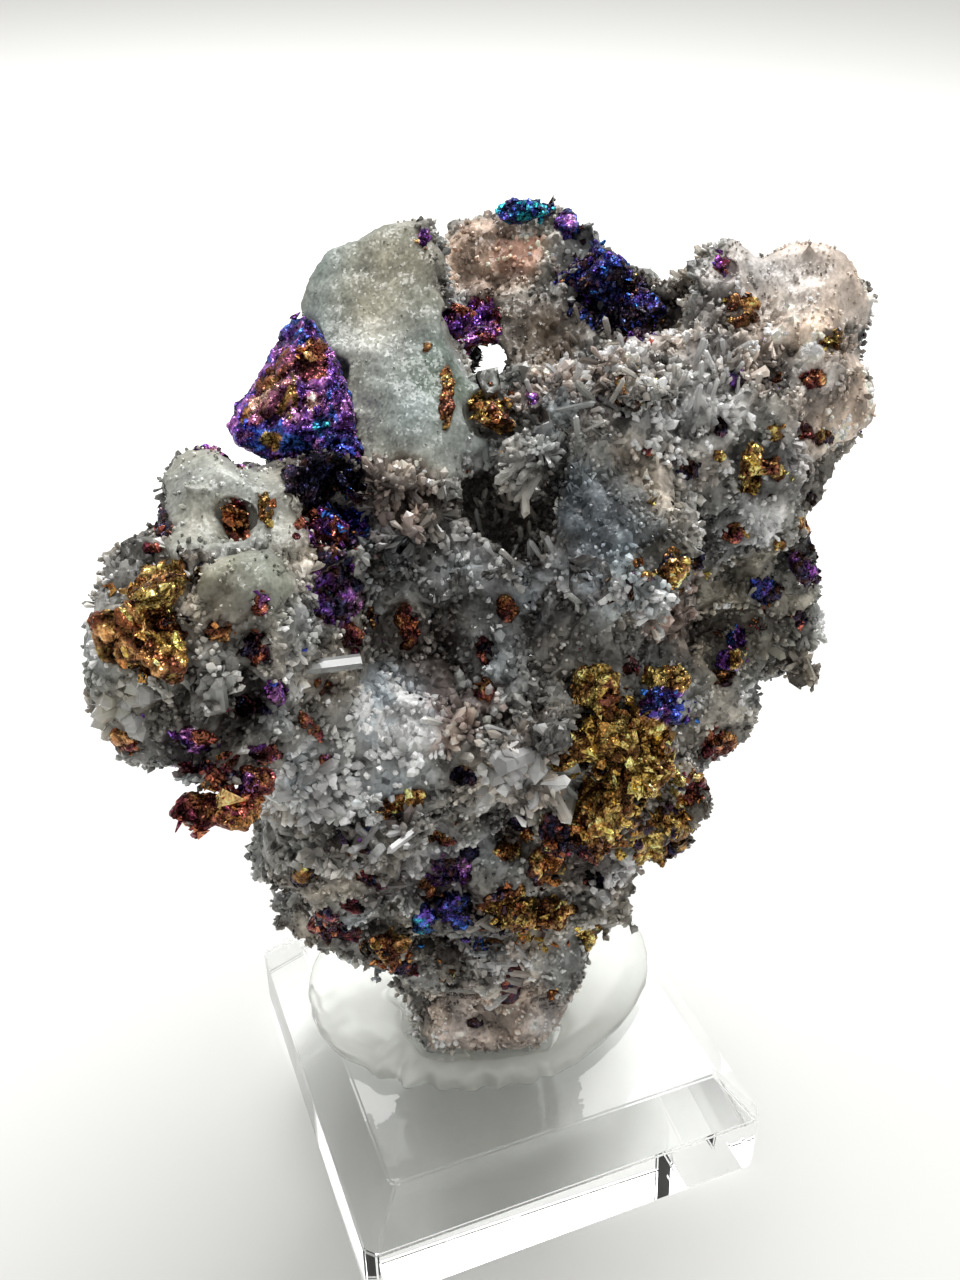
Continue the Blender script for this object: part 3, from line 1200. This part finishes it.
def gel_pad():
    """The clear gel under the stone, fluted where it was pressed out at the front."""
    pad = remeshed("gel", "gel_pad", 0.38, 3)
    mesh = pad.data
    points = coordinates(mesh)
    middle = (points.max(axis=0) + points.min(axis=0)) / 2
    out = points[:, :2] - middle[:2]
    reach = np.linalg.norm(out, axis=1)
    angle = np.arctan2(out[:, 1], out[:, 0])
    rim = smoothstep((reach / reach.max() - 0.55) / 0.35)
    front = smoothstep((0.85 - np.abs(angle - GEL_FLUTES_AT)) / 0.35)
    ripple = np.sin(30.0 * angle + 1.5 * field(points, 3.0, 31)) * rim * front
    fold = 0.22 * field(points, 2.6, 32) * rim
    move = (GEL_FLUTE * ripple - GEL_FLUTE * rim * front - 0.15 * rim + fold) * MM
    points[:, :2] += out / np.maximum(reach, 1e-6)[:, None] * move[:, None]
    top = smoothstep((points[:, 2] - middle[2]) / (1.2 * MM))
    points[:, 2] += top * rim * (GEL_RIPPLE * ripple * front + 0.5 * fold) * MM
    move_to(mesh, points)
    mesh.shade_smooth()
    finish = clear_finish("gel", (0.95, 0.965, 0.93), 0.18, 1.42)
    shader = finish.node_tree.nodes["Principled BSDF"]
    shader.inputs["Transmission Weight"].default_value = 0.70
    dress(pad, finish, "clear_gel", "gel_pad")


def studio():
    """A pale floor and plain soft light."""
    bpy.ops.mesh.primitive_plane_add(size=12.0, location=(0, 0, -0.0001))
    floor = bpy.context.object
    floor.name = "floor"
    made, _, shader = shader_material("floor")
    shader.inputs["Base Color"].default_value = (0.68, 0.68, 0.67, 1.0)
    shader.inputs["Roughness"].default_value = 0.55
    floor.data.materials.append(made)
    floor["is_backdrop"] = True

    world = bpy.data.worlds.new("studio")
    bpy.context.scene.world = world
    world.use_nodes = True
    tree = world.node_tree
    sky = tree.nodes.new("ShaderNodeTexCoord")
    height = tree.nodes.new("ShaderNodeVectorMath")
    height.operation = "DOT_PRODUCT"
    height.inputs[1].default_value = Vector((0.15, 0.45, 0.88)).normalized()
    levels = tree.nodes.new("ShaderNodeMapRange")
    levels.interpolation_type = "SMOOTHSTEP"
    levels.inputs["From Min"].default_value = -0.1
    levels.inputs["From Max"].default_value = 0.85
    levels.inputs["To Min"].default_value = 0.46
    levels.inputs["To Max"].default_value = 0.86
    tree.links.new(sky.outputs["Generated"], height.inputs[0])
    tree.links.new(height.outputs["Value"], levels.inputs["Value"])
    tree.links.new(levels.outputs["Result"], tree.nodes["Background"].inputs["Strength"])
    tree.nodes["Background"].inputs["Color"].default_value = (1, 0.995, 0.965, 1)

    lamps = (
        ("key", (0.14, 0.10, 0.50), (0.0, 0.0, 0.05), 0.26, 1.9),
        ("back", (0.05, 0.45, 0.60), (0.05, 1.10, 0.0), 0.80, 9.0),
    )
    for name, place, target, size, power in lamps:
        data = bpy.data.lights.new(name, "AREA")
        data.size = size
        data.energy = power
        lamp = bpy.data.objects.new(name, data)
        lamp.location = place
        aim = Vector(target) - Vector(place)
        lamp.rotation_euler = aim.to_track_quat("-Z", "Y").to_euler()
        bpy.context.scene.collection.objects.link(lamp)
    bpy.context.scene.view_settings.view_transform = "Standard"


def main():
    # Without a seed, noise_vector takes its offsets from the clock
    noise.seed_set(RELIEF_SEED)
    make_camera()
    studio()
    ground = remeshed("quartz_ground", "quartz_matrix", GROUND_VOXEL, GROUND_SMOOTHING)
    smooth_skin = tree_of([ground.data])
    places = area_places(smooth_skin)
    colour, length, _ = area_blend(coordinates(ground.data), places)
    depth = roughen(ground.data, smooth_skin, length)

    rng = np.random.default_rng(11)
    ore_nodes = [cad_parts[name].data for name in MASS_HUES]
    ore_tree = tree_of(ore_nodes)
    both_skins = tree_of([ground.data, *ore_nodes])
    patches = ore_patches(both_skins, ground, rng)
    grains = ore_places(both_skins, ground, places, patches, rng)

    cover, _ = ore_cover(coordinates(ground.data), normals(ground.data), patches)
    stain = 0.85 * smoothstep(cover / 0.6)[:, None]
    points = coordinates(ground.data)
    milky = 1.0 + (clouding(points) - 1.0) * (0.25 + 0.75 * smoothstep((length - 0.3) / 0.3))
    dim = 1.0 - 0.9 * smoothstep((depth - 0.3) / 2.3)
    colour = colour * milky[:, None]
    colour = np.array(CREVICE_COLOUR) + (colour - CREVICE_COLOUR) * dim[:, None]
    colour += stain * (np.array((0.035, 0.018, 0.014)) - colour)
    crag = 0.1 + 1.3 * smoothstep((length - 0.3) / 0.4)
    under = colour * (1.0 - 0.55 * smoothstep((length - 0.75) / 0.3))[:, None]
    paint(ground.data, under, crag)
    ground.data.shade_smooth()
    dress(ground, ground_finish(), "quartz", "quartz_matrix")

    ore = ore_finish()
    for name in MASS_HUES:
        ore_mass(name, patches, ore)
    ore_crust(ground, patches, ore)
    ore_grains(*grains, rng, ore)

    milky = crystal_finish("quartz_milky", 0.14, 0.0)
    clear = crystal_finish("quartz_clear", 0.06, 0.5)
    druse(ground, colour, places, ore_tree, patches, milky, clear)
    spray_crystals(tree_of([ground.data]), places, clear)
    gel_pad()
    acrylic_block()


main()
